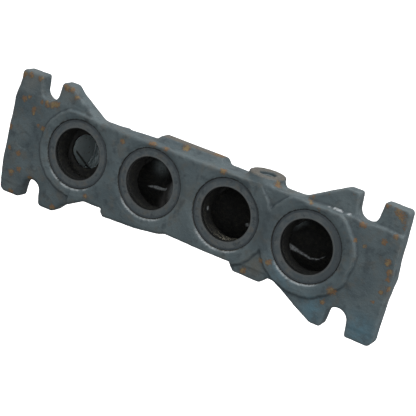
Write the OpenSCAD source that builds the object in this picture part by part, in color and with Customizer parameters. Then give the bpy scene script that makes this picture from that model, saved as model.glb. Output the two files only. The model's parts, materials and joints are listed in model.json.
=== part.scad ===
// Four-port cast iron exhaust manifold: a bolt-on flange bar with open slots
// at its four corners, four short runners into a log, and a rear outlet.
// X runs along the row of ports, Y away from the cylinder head, Z up.
// The origin is the middle of the port row, on the face that meets the head.

/* [Ports] */
// Distance between the centres of neighbouring ports
port_pitch = 76; // [70:1:92]
// Diameter of the gas bore of each port
port_bore_d = 46; // [38:1:56]
// Length of the straight bore behind the port face
port_len = 27; // [22:1:34]
// Radial width of the seat ring around each bore
ring_land = 7.5; // [5:0.5:9]
// Thickness of the seat ring
ring_thick = 4; // [2.5:0.5:6]
// Depth of the ring's face below the port face
ring_recess = 1.8; // [1:0.1:3]
// Radial gap between the ring and its counterbore
ring_gap = 0.05; // [0.02:0.01:0.2]

/* [Flange bar] */
// Metal above the seat rings, up to the top of the bar
rim_top = 4.5; // [3:0.5:8]
// Metal below the seat rings, down to the bottom of the bar
rim_bottom = 6.5; // [4:0.5:10]
// Radial width of the raised face around the two end ports, beyond the ring
face_land = 11; // [8:0.5:14]
// Depth of the bar at its deepest point
bar_depth = 28; // [22:1:32]
// Radius of the long bow along the back of the bar
bow_r = 410; // [380:5:600]
// Distance of the deepest point of the bow from the middle
bow_x = 15; // [0:1:30]
// Height of the two casting lugs under the bar
lug_drop = 7.5; // [3:0.5:9]
// Length of the lug between the first and second ports, which runs out in a slope
long_lug_len = 69; // [50:1:76]
// Length of the lug between the third and fourth ports
short_lug_len = 32; // [20:1:38]

/* [End plates] */
// Distance from the centre of an end port to the end of the plate
end_reach = 76.5; // [70:0.5:90]
// Thickness of the end plates
plate_thick = 15; // [12:0.5:19]
// Step from the port face back to the front of the end plates
plate_step = 2.5; // [1.5:0.5:3.5]
// Further step from the end plates back to the front of the top ears
ear_step = 2; // [1:0.5:3]
// Height of the top ears above the top of the bar
ear_rise = 22.5; // [18:0.5:28]
// Depth of the bottom ears below the bottom of the bar
ear_fall = 23; // [18:0.5:28]
// Distance from the centre of an end port to the slots
slot_offset = 40.8; // [38:0.1:50]
// Width of the stud slots
slot_w = 20.5; // [16:0.5:24]
// Height of the root of a top slot above the top of the bar
slot_root_top = 0.3; // [0:0.1:4]
// Depth of the root of a bottom slot below the bottom of the bar
slot_root_bottom = 1; // [0:0.1:4]

/* [Log and runners] */
// Diameter of the passage along the log
log_bore_d = 52; // [46:1:60]
// Wall of the log
log_wall = 6; // [5:0.5:8]
// Drop of the log's centre below the port centres
log_drop = 10; // [6:1:14]
// Wall of the runners around the gas bores
runner_wall = 7; // [6:0.5:9]
// Thickness of the closed ends of the log
end_wall = 9; // [8:0.5:12]

/* [Outlet] */
// Diameter of the outlet bore
outlet_bore_d = 44; // [36:1:52]
// Width and height of the square outlet flange
outlet_flange_w = 76; // [74:1:92]
// Thickness of the outlet flange
outlet_flange_t = 14; // [12:1:18]
// Distance from the port face to the outlet face
outlet_y = 92; // [90:1:112]
// Distance of the outlet's centre from the middle of the port row
outlet_x = -36.5; // [-60:0.5:60]
// Drop of the outlet's centre below the port centres
outlet_drop = 27; // [20:1:32]
// Distance between neighbouring outlet studs
stud_spacing = 54; // [52:0.5:62]
// Diameter of the outlet studs
stud_d = 10; // [8:1:10]
// Length of stud that stands out of the outlet face
stud_out = 24; // [18:1:30]
// Depth of the stud's thread, by which its buried end is thinner
thread_depth = 0.7; // [0.4:0.1:1]
// Radial gap between a stud's buried end and its hole
stud_gap = 0.05; // [0.02:0.01:0.2]

/* [Plugs] */
// Diameter of the cup plugs in the ends of the log
cup_d = 40; // [32:1:42]
// Sheet thickness of the cup plugs
cup_wall = 1.6; // [1:0.1:2.5]
// Radial gap between a cup plug and its hole
cup_gap = 0.05; // [0.02:0.01:0.2]
// Diameter of the round boss on top of the bar
boss_d = 30.5; // [28:0.5:40]
// Height of the boss above the top of the bar
boss_rise = 7; // [6:0.5:12]
// Distance of the boss from the middle of the bar
boss_x = 59.5; // [56:0.5:66]
// Distance of the boss from the port face
boss_y = 17; // [16:0.5:20]
// Diameter of the threaded plug in the boss
plug_d = 14.2; // [10:0.1:17]
// Length of the threaded plug
plug_len = 12; // [9:1:15]
// Depth of the plug's top below the top of the boss
plug_sink = 2.5; // [1:0.5:4]
// Size across the flats of the plug's hexagon socket
plug_hex = 8; // [5:0.5:9]
// Radial gap between the plug and its hole
plug_gap = 0.05; // [0.02:0.01:0.2]

/* [Top pad] */
// Length of the flat top of the raised pad
pad_len = 57; // [40:1:70]
// Distance of the pad's middle from the middle of the bar
pad_x = -13.5; // [-20:0.5:0]
// Height of the pad above the top of the bar
pad_rise = 5.5; // [2:0.5:7]
// Depth of the pad's flat top
pad_depth = 13; // [10:0.5:18]
// Length of the sloping ends of the pad
pad_ramp = 9; // [5:0.5:12]

/* [Hidden] */
$fn = 96;
// Small overlap of a cut past the face that it opens
cut = 1;
// Steps of a rounded corner of an outline
steps = 6;

bore_r = port_bore_d / 2;
ring_r = bore_r + ring_land;
counterbore_r = ring_r + ring_gap;
counterbore_depth = ring_recess + ring_thick;
last_port = 1.5 * port_pitch;
port_xs = [for (i = [0:3]) (i - 1.5) * port_pitch];

bar_top = ring_r + rim_top;
bar_bottom = ring_r + rim_bottom;
face_r = ring_r + face_land;

plate_end = last_port + end_reach;
plate_back = plate_step + plate_thick;
ear_top = bar_top + ear_rise;
ear_bottom = bar_bottom + ear_fall;
ear_corner = 6;
slot_r = slot_w / 2;
slot_x = last_port + slot_offset;
slot_z_top = bar_top + slot_root_top + slot_r;
slot_z_bottom = bar_bottom + slot_root_bottom + slot_r;
// Width of the ear between the slot and the sloping flank, at the tip
ear_tip_w = 11;
ear_tip_round = 7;
// Length of the sloping flanks along the bar, and the rounding at their feet
flank_top = 31;
flank_top_round = 16;
flank_bottom = 34;
flank_bottom_round = 12;
// Height of the step across a top ear, above the root of its slot
ear_line = 3;

// Distance of the lugs from the port on their left, and length of their steep ends
long_lug_from = 36;
short_lug_from = 15;
lug_ramp = 3;

log_bore_r = log_bore_d / 2;
log_r = log_bore_r + log_wall;
// The log's passage reaches this far into the straight bores
log_lap = 3;
log_y = port_len + log_bore_r - log_lap;
log_in = last_port + bore_r;
log_end = log_in + end_wall;
log_round = 8;

// The runners and their inner passages fall from the port face to just above the log's centre
runner_r = bore_r + runner_wall;
runner_rise = 2.5;
aim = 2;
runner_tilt = atan2(runner_rise + log_drop - aim, log_y);
runner_len = log_y / cos(runner_tilt);
passage_r = bore_r - 0.5;
passage_from = port_len - 11;

outlet_r = outlet_bore_d / 2;
outlet_back = outlet_y - outlet_flange_t;
neck_r = outlet_r + runner_wall + 1;
neck_drop = log_drop + aim;
neck_tilt = atan2(outlet_drop - neck_drop, outlet_back - log_y);
neck_len = (outlet_back - log_y) / cos(neck_tilt) + neck_r;
outlet_corner = 10;
stud_r = stud_d / 2;
stud_root_r = stud_r - thread_depth;
// Countersink around each stud, in the outlet face
stud_mouth_r = stud_r + 0.5;
stud_mouth_depth = 1;
stud_tip = 1.5;
stud_spots = [for (sz = [1, -1]) for (sx = [-1, 1]) [outlet_x, -outlet_drop] + [sx, sz] * stud_spacing / 2];

cup_r = cup_d / 2;
cup_len = 9;
cup_round = 2.5;

boss_r = boss_d / 2;
boss_top = bar_top + boss_rise;
plug_r = plug_d / 2;
plug_top = boss_top - plug_sink;
plug_socket = 6;

iron = [0.31, 0.35, 0.37];
bright_iron = [0.45, 0.43, 0.40];
plug_steel = [0.36, 0.38, 0.39];
stud_steel = [0.42, 0.33, 0.26];

function unit(v) = v / norm(v);
function heading(angle) = [cos(angle), sin(angle)];

// Points of an arc of radius r that rounds the corner b between a and c
function corner(a, b, c, r) =
    let (u = unit(a - b), w = unit(c - b), half = acos(u * w) / 2)
    let (centre = b + unit(u + w) * r / sin(half))
    let (s = b + u * r / tan(half) - centre, e = b + w * r / tan(half) - centre)
    let (from = atan2(s.y, s.x), turn = (atan2(e.y, e.x) - from + 540) % 360 - 180)
    r == 0 ? [b] : [for (i = [0:steps]) centre + r * heading(from + turn * i / steps)];

// An outline given as [x, z, corner radius] with its corners rounded
function flat(p) = [p.x, p.y];
function rounded(pts) =
    let (n = len(pts), xz = [for (p = pts) flat(p)])
    [for (i = [0:n - 1]) each corner(xz[(i + n - 1) % n], xz[i], xz[(i + 1) % n], pts[i].z)];

// Stand a flat X-Z outline up as a slab from y0 to y1
module slab(y0, y1) {
    translate([0, y1, 0]) rotate([90, 0, 0]) linear_extrude(y1 - y0) children();
}

// A round bar along +Y from the point [x, y, z]
module y_bar(x, y, z, r, len) {
    translate([x, y, z]) rotate([-90, 0, 0]) cylinder(h = len, r = r);
}

// Outline of the right end plate with both ears, drawn into the bar
module end_plate_outline() {
    tip = slot_x - slot_r - ear_tip_w;
    inside = last_port - port_pitch / 2;
    polygon(rounded([
        [inside, -bar_bottom, 0],
        [tip - flank_bottom, -bar_bottom, flank_bottom_round],
        [tip, -ear_bottom, ear_tip_round],
        [plate_end, -ear_bottom, ear_corner],
        [plate_end, ear_top, ear_corner],
        [tip, ear_top, ear_tip_round],
        [tip - flank_top, bar_top, flank_top_round],
        [inside, bar_top, 0]]));
}

// Outline of the raised port face between the two end ports
module port_face_outline() {
    intersection() {
        union() {
            for (x = [-last_port, last_port]) translate([x, 0]) circle(r = face_r);
            translate([-last_port, -bar_bottom]) square([2 * last_port, bar_bottom + bar_top]);
        }
        translate([-plate_end, -bar_bottom]) square([2 * plate_end, bar_bottom + bar_top]);
    }
}

// The two casting lugs under the bar, one long and sloping, one short
module lug_outline() {
    translate([port_xs[0] + long_lug_from, -bar_bottom]) polygon([
        [0, cut], [lug_ramp, -lug_drop], [long_lug_len, 0], [long_lug_len, cut]]);
    translate([port_xs[2] + short_lug_from, -bar_bottom]) polygon([
        [0, cut], [lug_ramp, -lug_drop], [short_lug_len - lug_ramp, -lug_drop], [short_lug_len, cut]]);
}

// The bar between the ports, with its bowed back
module bar() {
    high = bar_bottom + bar_top;
    intersection() {
        translate([-last_port - bore_r, 0, -bar_bottom]) cube([2 * (last_port + bore_r), bar_depth, high]);
        translate([bow_x, bar_depth - bow_r, -bar_bottom]) cylinder(h = high, r = bow_r, $fn = 360);
    }
}

module end_plates() {
    for (side = [0, 1]) mirror([side, 0, 0]) slab(plate_step, plate_back) end_plate_outline();
}

// The log, closed at both ends, with rounded end corners
module log_body() {
    translate([-log_end, log_y, -log_drop]) rotate([0, 90, 0]) rotate_extrude() polygon(rounded([
        [0, 0, 0], [log_r, 0, log_round], [log_r, 2 * log_end, log_round], [0, 2 * log_end, 0]]));
}

// One tilted round bar for each port, from the depth "from" to the log
module runners(r, from) {
    start = from / cos(runner_tilt) + r * tan(runner_tilt);
    for (x = port_xs) translate([x, 0, runner_rise]) rotate([-90 - runner_tilt, 0, 0])
        translate([0, 0, start]) cylinder(h = runner_len - start, r = r);
}

// Web that ties the runners together behind the bar
module runner_web() {
    translate([-last_port, plate_step, -log_drop - bore_r])
        cube([2 * last_port, log_y - plate_step, 2 * bore_r]);
}

// Tilted round bar from the log to the back of the outlet flange
module outlet_neck(r) {
    intersection() {
        translate([outlet_x, log_y, -neck_drop]) rotate([-90 - neck_tilt, 0, 0])
            cylinder(h = neck_len, r = r);
        translate([outlet_x - 2 * r, 0, -outlet_drop - 2 * r]) cube([4 * r, outlet_back, 4 * r]);
    }
}

module outlet_flange() {
    half = outlet_flange_w / 2;
    slab(outlet_back, outlet_y) translate([outlet_x, -outlet_drop]) polygon(rounded([
        [-half, -half, outlet_corner], [half, -half, outlet_corner],
        [half, half, outlet_corner], [-half, half, outlet_corner]]));
}

// Raised pad on top of the bar with sloping ends
module top_pad() {
    half = pad_len / 2;
    back = bar_depth - 1;
    translate([pad_x, 0, bar_top]) slab(back - pad_depth, back) polygon([
        [-half - pad_ramp, -cut], [-half - pad_ramp, 0], [-half, pad_rise],
        [half, pad_rise], [half + pad_ramp, 0], [half + pad_ramp, -cut]]);
}

module boss() {
    translate([boss_x, boss_y, 0]) cylinder(h = boss_top, r = boss_r);
}

// One open slot: a round root of the stud's size, open towards +Z
module slot(root_z, mouth_z) {
    y_bar(slot_x, -cut, root_z, slot_r, plate_back + 2 * cut);
    translate([slot_x - slot_r, -cut, root_z]) cube([slot_w, plate_back + 2 * cut, mouth_z - root_z + cut]);
}

module slots() {
    for (side = [0, 1]) mirror([side, 0, 0]) {
        slot(slot_z_top, ear_top);
        mirror([0, 0, 1]) slot(slot_z_bottom, ear_bottom);
    }
}

// The fronts of the top ears stand back from the end plates
module ear_relief() {
    for (side = [0, 1]) mirror([side, 0, 0])
        translate([last_port + ring_r, 0, slot_z_top - slot_r + ear_line])
            cube([end_reach, plate_step + ear_step, ear_rise]);
}

// Everything that the gas flows through, and the counterbores of the rings
module passages() {
    for (x = port_xs) {
        y_bar(x, -cut, 0, bore_r, port_len + cut);
        y_bar(x, -cut, 0, counterbore_r, counterbore_depth + cut);
    }
    runners(passage_r, passage_from);
    translate([-log_in, log_y, -log_drop]) rotate([0, 90, 0]) cylinder(h = 2 * log_in, r = log_bore_r);
    outlet_neck(outlet_r);
    y_bar(outlet_x, outlet_back - cut, -outlet_drop, outlet_r, outlet_flange_t + 2 * cut);
}

// Holes for the cup plugs, the threaded plug and the studs
module plug_holes() {
    translate([-log_end - cut, log_y, -log_drop]) rotate([0, 90, 0])
        cylinder(h = 2 * (log_end + cut), r = cup_r + cup_gap);
    translate([boss_x, boss_y, plug_top - plug_len])
        cylinder(h = plug_len + plug_sink + cut, r = plug_r + plug_gap);
    for (s = stud_spots) {
        y_bar(s.x, outlet_back - cut, s.y, stud_root_r + stud_gap, outlet_flange_t + 2 * cut);
        y_bar(s.x, outlet_y - stud_mouth_depth, s.y, stud_mouth_r, stud_mouth_depth + cut);
    }
}

module manifold_casting() {
    color(iron) difference() {
        union() {
            bar();
            end_plates();
            slab(0, plate_back) port_face_outline();
            slab(plate_step, plate_back) lug_outline();
            runners(runner_r, plate_step);
            runner_web();
            log_body();
            outlet_neck(neck_r);
            outlet_flange();
            top_pad();
            boss();
        }
        slots();
        ear_relief();
        passages();
        plug_holes();
    }
}

// Steel seat ring sunk in the counterbore of port i
module port_ring(i) {
    color(bright_iron) translate([port_xs[i], ring_recess, 0]) rotate([-90, 0, 0]) difference() {
        cylinder(h = ring_thick, r = ring_r);
        translate([0, 0, -cut]) cylinder(h = ring_thick + 2 * cut, r = bore_r);
    }
}

// Pressed cup plug with its open side outwards, its closed face at the log's end
module cup_plug() {
    inner_r = cup_r - cup_wall;
    inner_round = cup_round - cup_wall / 2;
    mouth = cup_len + cut;
    color(plug_steel) translate([log_in, log_y, -log_drop]) rotate([0, 90, 0])
        rotate_extrude() difference() {
            polygon(rounded([
                [0, 0, 0], [cup_r, 0, cup_round], [cup_r, cup_len, 0], [0, cup_len, 0]]));
            polygon(rounded([
                [-cut, cup_wall, 0], [inner_r, cup_wall, inner_round],
                [inner_r, mouth, 0], [-cut, mouth, 0]]));
        }
}

module boss_plug() {
    color(plug_steel) translate([boss_x, boss_y, plug_top - plug_len]) difference() {
        cylinder(h = plug_len, r = plug_r);
        translate([0, 0, plug_len - plug_socket])
            cylinder(h = plug_socket + cut, r = plug_hex / sqrt(3), $fn = 6);
    }
}

// Threaded stud i, screwed into the outlet flange down to the flange's back
module outlet_stud(i) {
    spot = stud_spots[i];
    color(stud_steel) translate([spot.x, outlet_y, spot.y]) rotate([-90, 0, 0]) rotate_extrude() polygon([
        [0, -outlet_flange_t], [stud_root_r, -outlet_flange_t], [stud_root_r, 0], [stud_r, 0],
        [stud_r, stud_out - stud_tip], [stud_r - stud_tip, stud_out], [0, stud_out]]);
}

manifold_casting();
port_ring(0);  // port_ring_1
port_ring(1);  // port_ring_2
port_ring(2);  // port_ring_3
port_ring(3);  // port_ring_4
mirror([1, 0, 0]) cup_plug();  // end_plug_left
cup_plug();  // end_plug_right
boss_plug();
outlet_stud(0);  // outlet_stud_1
outlet_stud(1);  // outlet_stud_2
outlet_stud(2);  // outlet_stud_3
outlet_stud(3);  // outlet_stud_4
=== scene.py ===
# Looks of the four-port exhaust manifold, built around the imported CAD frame.
# The casting is a signed distance field in millimetres, meshed and painted here.
# X runs along the ports, Y away from the cylinder head, Z up.
import json
import math

import bpy
import numpy as np
from mathutils import Matrix, Vector


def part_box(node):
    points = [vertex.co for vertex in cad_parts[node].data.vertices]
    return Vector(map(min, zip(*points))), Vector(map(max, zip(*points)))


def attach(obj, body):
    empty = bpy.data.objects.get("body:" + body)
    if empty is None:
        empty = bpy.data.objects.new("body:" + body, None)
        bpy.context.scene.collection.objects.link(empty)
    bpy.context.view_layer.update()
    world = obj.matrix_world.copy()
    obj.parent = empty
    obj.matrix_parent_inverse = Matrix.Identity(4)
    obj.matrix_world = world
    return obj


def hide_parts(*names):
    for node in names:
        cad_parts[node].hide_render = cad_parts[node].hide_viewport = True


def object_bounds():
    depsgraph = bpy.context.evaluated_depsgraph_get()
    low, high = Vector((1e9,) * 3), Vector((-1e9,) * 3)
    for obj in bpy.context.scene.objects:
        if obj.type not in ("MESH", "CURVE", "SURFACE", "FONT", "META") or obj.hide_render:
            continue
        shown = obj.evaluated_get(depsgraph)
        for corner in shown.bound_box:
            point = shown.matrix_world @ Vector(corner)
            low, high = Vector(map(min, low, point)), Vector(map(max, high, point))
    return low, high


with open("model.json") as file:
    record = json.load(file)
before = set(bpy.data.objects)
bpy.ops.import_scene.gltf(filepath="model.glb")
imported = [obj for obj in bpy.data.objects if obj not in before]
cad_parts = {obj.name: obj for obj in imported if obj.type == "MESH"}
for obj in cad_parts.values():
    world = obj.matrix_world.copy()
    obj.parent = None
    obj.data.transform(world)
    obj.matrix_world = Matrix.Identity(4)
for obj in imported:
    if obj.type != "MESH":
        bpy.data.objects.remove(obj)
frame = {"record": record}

MM = 0.001
SEED = 11
VOXEL = 1.05
CAD_BOX = [list(corner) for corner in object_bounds()]


# ---------------------------------------------------------------- frame sizes
def box_mm(node):
    low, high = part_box(node)
    return np.array(low) / MM, np.array(high) / MM


MOUNTS = {m["name"]: m for m in frame["record"]["mounts"]}


def mount_mm(name):
    return np.array(MOUNTS[name]["pos_m"]) / MM


CAST_LOW, CAST_HIGH = box_mm("manifold_casting")
RINGS = [box_mm(f"port_ring_{i}") for i in range(1, 5)]
PORT_X = [(low[0] + high[0]) / 2 for low, high in RINGS]
PITCH = PORT_X[1] - PORT_X[0]
LAST = PORT_X[3]
BORE_R = MOUNTS["port_1"]["dims"]["r_mm"]
RING_R = (RINGS[0][1][0] - RINGS[0][0][0]) / 2
SEAT_Y = RINGS[0][1][1]
RECESS = RINGS[0][0][1]
SEAT_GAP = 0.05
PORT_LEN = 27.0

BAR_TOP = RING_R + 4.5
BAR_BOTTOM = RING_R + 6.5
BAR_DEPTH = 28.0
BOW_R = 410.0
BOW_X = 15.0
FACE_R = RING_R + 11.5
PLATE_Y = 2.5
PLATE_BACK = 17.5
EAR_TOP = CAST_HIGH[2]
EAR_BOTTOM = 60.0
SLOT_R = MOUNTS["slot_top_left"]["dims"]["r_mm"]
SLOTS = [mount_mm(f"slot_{v}_{h}") for v in ("top", "bottom") for h in ("left", "right")]
SLOT_X = SLOTS[1][0]

CUP_LOW, CUP_HIGH = box_mm("end_plug_right")
CUP_R = (CUP_HIGH[2] - CUP_LOW[2]) / 2
LOG_Y = (CUP_LOW[1] + CUP_HIGH[1]) / 2
LOG_Z = (CUP_LOW[2] + CUP_HIGH[2]) / 2
LOG_BORE_R = 26.0
LOG_R = 32.0
RUNNER_WALL = 7.0
NECK_WALL = 7.5
LOG_IN = CUP_LOW[0]
LOG_END = CUP_HIGH[0]

# The mount of the outlet's face stands beside the bore, this far along X
FACE_MOUNT_SHIFT = 31.5
OUTLET = mount_mm("outlet_face") - np.array([FACE_MOUNT_SHIFT, 0, 0])
OUTLET_R = MOUNTS["outlet_bore"]["dims"]["r_mm"]
FLANGE_T = 14.0
FLANGE_HALF = 38.0
OUTLET_BACK = OUTLET[1] - FLANGE_T
STUDS = [box_mm(f"outlet_stud_{i}") for i in range(1, 5)]
STUD_XZ = [((low + high) / 2)[[0, 2]] for low, high in STUDS]
STUD_R = (STUDS[0][1][0] - STUDS[0][0][0]) / 2

PLUG_LOW, PLUG_HIGH = box_mm("boss_plug")
BOSS_X = (PLUG_LOW[0] + PLUG_HIGH[0]) / 2
BOSS_Y = (PLUG_LOW[1] + PLUG_HIGH[1]) / 2
PLUG_R = (PLUG_HIGH[0] - PLUG_LOW[0]) / 2
BOSS_R = 15.25
BOSS_TOP = PLUG_HIGH[2] + 2.5
PAD_X = -13.5
PAD_HALF = 28.5
PAD_RAMP = 9.0
PAD_TOP = BAR_TOP + 5.5
PAD_FRONT = BAR_DEPTH - 14.0
PAD_BACK = BAR_DEPTH - 1.0


# ---------------------------------------------------------- distance functions
CUBE = np.array([[i, j, k] for i in (0, 1) for j in (0, 1) for k in (0, 1)])


def low_blend(a, b, k):
    """Union of two distances with a fillet of about k."""
    h = np.clip(0.5 + 0.5 * (b - a) / k, 0.0, 1.0)
    return b + (a - b) * h - k * h * (1.0 - h)


def high_blend(a, b, k):
    """Intersection of two distances with a rounded edge of about k."""
    return -low_blend(-a, -b, k)


def ramp(value, start, end):
    """0 at start, 1 at end, smooth between."""
    t = np.clip((value - start) / (end - start), 0.0, 1.0)
    return t * t * (3.0 - 2.0 * t)


def rounded(points, steps=7):
    """An outline given as (x, z, corner radius), with arcs in its corners."""
    out = []
    for i, (bx, bz, r) in enumerate(points):
        b = np.array([bx, bz])
        a = np.array(points[i - 1][:2])
        c = np.array(points[(i + 1) % len(points)][:2])
        if r == 0:
            out.append(b)
            continue
        u = (a - b) / np.linalg.norm(a - b)
        w = (c - b) / np.linalg.norm(c - b)
        half = math.acos(float(np.clip(u @ w, -1, 1))) / 2
        centre = b + (u + w) / np.linalg.norm(u + w) * r / math.sin(half)
        s = b + u * r / math.tan(half) - centre
        e = b + w * r / math.tan(half) - centre
        start = math.atan2(s[1], s[0])
        turn = (math.atan2(e[1], e[0]) - start + 3 * math.pi) % (2 * math.pi) - math.pi
        for k in range(steps + 1):
            angle = start + turn * k / steps
            out.append(centre + r * np.array([math.cos(angle), math.sin(angle)]))
    return out


def outline_distance(x, z, points):
    """Signed distance to a closed outline in the X-Z plane."""
    shape = np.broadcast(x, z).shape
    best = np.full(shape, 1e9)
    inside = np.zeros(shape, bool)
    for a, b in zip(points, points[1:] + points[:1]):
        ex, ez = b - a
        wx, wz = x - a[0], z - a[1]
        t = np.clip((wx * ex + wz * ez) / (ex * ex + ez * ez), 0.0, 1.0)
        best = np.minimum(best, (wx - ex * t) ** 2 + (wz - ez * t) ** 2)
        left = wx * ez < ex * wz if b[1] > a[1] else wx * ez > ex * wz
        inside ^= ((a[1] > z) != (b[1] > z)) & left
    return np.where(inside, -1.0, 1.0) * np.sqrt(best)


def disc(x, z, cx, cz, r):
    return np.sqrt((x - cx) ** 2 + (z - cz) ** 2) - r


def tilted_bar(x, y, z, start, slope, r):
    """Endless round bar through start, rising by slope along Y."""
    c, s = math.cos(slope), math.sin(slope)
    across = (z - start[2]) * c - (y - start[1]) * s
    return np.sqrt((x - start[0]) ** 2 + across ** 2) - r


LATTICE_N = 32
LATTICE = np.random.default_rng(SEED).random((LATTICE_N,) * 3).astype(np.float32)


def lumps(x, y, z, size, shift=0.0):
    """Smooth random field between -1 and 1 with lumps of the given size."""
    p = [np.broadcast_to(v / size + 100.0 + shift, np.broadcast(x, y, z).shape) for v in (x, y, z)]
    base = [np.floor(v).astype(int) for v in p]
    part = [v - b for v, b in zip(p, base)]
    part = [t * t * (3.0 - 2.0 * t) for t in part]
    total = 0.0
    for corner in CUBE:
        weight = 1.0
        for t, bit in zip(part, corner):
            weight = weight * (t if bit else 1.0 - t)
        total = total + weight * LATTICE[tuple((b + bit) % LATTICE_N for b, bit in zip(base, corner))]
    return 2.0 * total - 1.0


# ------------------------------------------------------------------ outlines
RIGHT_PLATE = rounded([
    (76, -BAR_BOTTOM - 1.2, 0), (93.4, -BAR_BOTTOM - 1.7, 9), (133.3, -EAR_BOTTOM + 0.4, 7),
    (SLOT_X, -EAR_BOTTOM + 0.6, 0), (188.0, -EAR_BOTTOM + 0.3, 5),
    (188.0, -34, 40), (189.6, -10, 8), (190.2, 0, 8), (189.2, 13, 20),
    (188.0, EAR_TOP, 4), (SLOT_X, EAR_TOP, 0), (133.0, EAR_TOP, 5),
    (97.5, BAR_TOP + 1.7, 12), (76, BAR_TOP, 0)])
LEFT_PLATE = rounded([
    (-76, BAR_TOP, 0), (-100.0, BAR_TOP - 0.5, 14), (-126.5, EAR_TOP - 8.0, 16), (-134.3, EAR_TOP - 1.0, 5),
    (-SLOT_X, EAR_TOP - 1.4, 0), (-188.7, EAR_TOP - 1.8, 4), (-189.3, 40, 14), (-191.6, 29, 12),
    (-191.6, -32, 20), (-188.5, -EAR_BOTTOM - 0.3, 6),
    (-SLOT_X, -EAR_BOTTOM - 0.3, 0), (-128.5, -EAR_BOTTOM, 7), (-120.5, -51.7, 14),
    (-97.5, -BAR_BOTTOM - 1.8, 9), (-76, -BAR_BOTTOM - 1.4, 0)])
LEFT_LUG = rounded([
    (-79.2, -30, 0), (-79.2, -41.0, 1.0), (-75.5, -45.2, 2.0),
    (-44, -43.6, 60), (-4, -38.0, 20), (-4, -30, 0)])
RIGHT_LUG = rounded([
    (52.6, -30, 0), (52.6, -41.0, 1.0), (56.5, -44.9, 2.5),
    (82.0, -44.9, 2.5), (86.3, -41.0, 1.0), (86.3, -30, 0)])
# How far each cast slot sits aside of its stud, how much tighter its root is, and how it widens outwards
SLOT_SHIFT = (-0.6, 0.0, -0.8, -1.0)
SLOT_TIGHT = (1.0, 0.9, 1.5, 0.8)
SLOT_FLARE = 0.11


def slot_distance(x, z):
    """The four open slots, in the X-Z plane."""
    best = 1e9
    for (cx, _, cz), shift, tight in zip(SLOTS, SLOT_SHIFT, SLOT_TIGHT):
        out = (z - cz) * (1.0 if cz > 0 else -1.0)
        flare = SLOT_FLARE * np.maximum(out, 0.0)
        away = np.sqrt((x - cx - shift) ** 2 + np.minimum(out, 0.0) ** 2)
        best = np.minimum(best, away - SLOT_R + tight - flare)
    return best


# The faint round mark on the left end plate
MARK_X, MARK_Z, MARK_R = -172.0, -7.0, 7.0
# A shallow turned step round each port ends at this radius, and a bevel leads down to the ring's seat
DISC_EDGE_R = 36.4
BEVEL_DEPTH, BEVEL_WIDTH = 1.3, 3.6


def face_depth(x, z):
    """Depth of the front surface below the port face."""
    wander = 0.9 * lumps(x, 0.0, z, 9.0, 2.0) + 0.5 * lumps(x, 0.0, z, 4.0, 4.0)
    discs = [disc(x, z, px, 0, FACE_R) + wander for px in PORT_X]
    discs[0] = discs[0] + 2.5
    raised = low_blend(low_blend(discs[0], discs[1], 12), low_blend(discs[2], discs[3], 3), 6)
    raised = np.minimum(raised, np.maximum(np.abs(x + PITCH / 2) - PITCH, np.abs(z) - 25))
    raised = np.minimum(raised, np.maximum(np.abs(x + PITCH * 0.6) - PITCH * 0.9, -z - 50))
    line = z + 0.5 * wander
    depth = PLATE_Y * ramp(raised, -1.2, 0.8)
    depth = np.maximum(depth, PLATE_Y * ramp(line, BAR_TOP + 0.2, BAR_TOP + 2.0))
    for px in PORT_X:
        r = np.sqrt((x - px) ** 2 + z ** 2) + 0.4 * wander
        depth = depth + 0.4 * ramp(r, DISC_EDGE_R + 0.8, DISC_EDGE_R - 0.8) * ramp(r, RING_R, RING_R + 1)
        depth = depth + BEVEL_DEPTH * np.clip((RING_R + BEVEL_WIDTH - r) / 3.2, 0.0, 1.0)
    depth = depth + 2.2 * ramp(line, BAR_TOP + 1.0, BAR_TOP + 3.8) * ramp(x, 92, 102)
    depth = depth + 0.8 * ramp(line, BAR_TOP + 1.0, BAR_TOP + 6.0) * ramp(-x, 108, 118)
    mark = np.abs(disc(x, z, MARK_X, MARK_Z, MARK_R)) - 0.2 * wander
    middle = ramp(-disc(x, z, MARK_X, MARK_Z, MARK_R / 2), -1.0, 0.8)
    depth = depth + 0.35 * ramp(-mark, -1.3, -0.3) - 0.25 * middle
    below = ramp(-z, EAR_BOTTOM - 12, EAR_BOTTOM - 9)
    return depth + below * (0.5 * ramp(x, 160, 166) + 0.5 * ramp(-x, 160, 166))


def flange_bar(x, y, z):
    """The bar between the ports, its end plates, its lugs and the open slots."""
    front = face_depth(x, z) - y
    bow_back = BAR_DEPTH - (x - BOW_X) ** 2 / (2 * BOW_R)
    top = BAR_TOP + 0.4 + 0.6 * ramp(x, 0, 20)
    middle = high_blend(np.maximum(z - top, -z - BAR_BOTTOM - 0.5), np.abs(x) - LAST - BORE_R, 3)
    bar = high_blend(middle, y - bow_back, 6)
    plates = np.minimum(outline_distance(x, z, RIGHT_PLATE), outline_distance(x, z, LEFT_PLATE))
    plates = high_blend(plates, y - PLATE_BACK, 2)
    lugs = np.minimum(outline_distance(x, z, LEFT_LUG), outline_distance(x, z, RIGHT_LUG))
    lugs = high_blend(lugs, y - PLATE_BACK, 4)
    solid = low_blend(low_blend(bar, plates, 2.5), lugs, 1.5)
    solid = high_blend(solid, front, 1.8 + 2.0 * ramp(-x, -100, 60))
    slots = slot_distance(x, z)
    return high_blend(solid, -slots, 2.4 + 2.4 * ramp(-x, 100, 120) * ramp(-z, 10, 20))


# The runners start this far above the port's axis and fall this far on their way to the log
RUNNER_START_Z = 2.5
RUNNER_FALL = 10.5


def runners(x, y, z, r):
    slope = -math.atan2(RUNNER_FALL, LOG_Y)
    bars = [tilted_bar(x, y, z, (px, 0, RUNNER_START_Z), slope, r) for px in PORT_X]
    best = bars[0]
    for bar in bars[1:]:
        best = low_blend(best, bar, 5.0)
    return best


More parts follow.
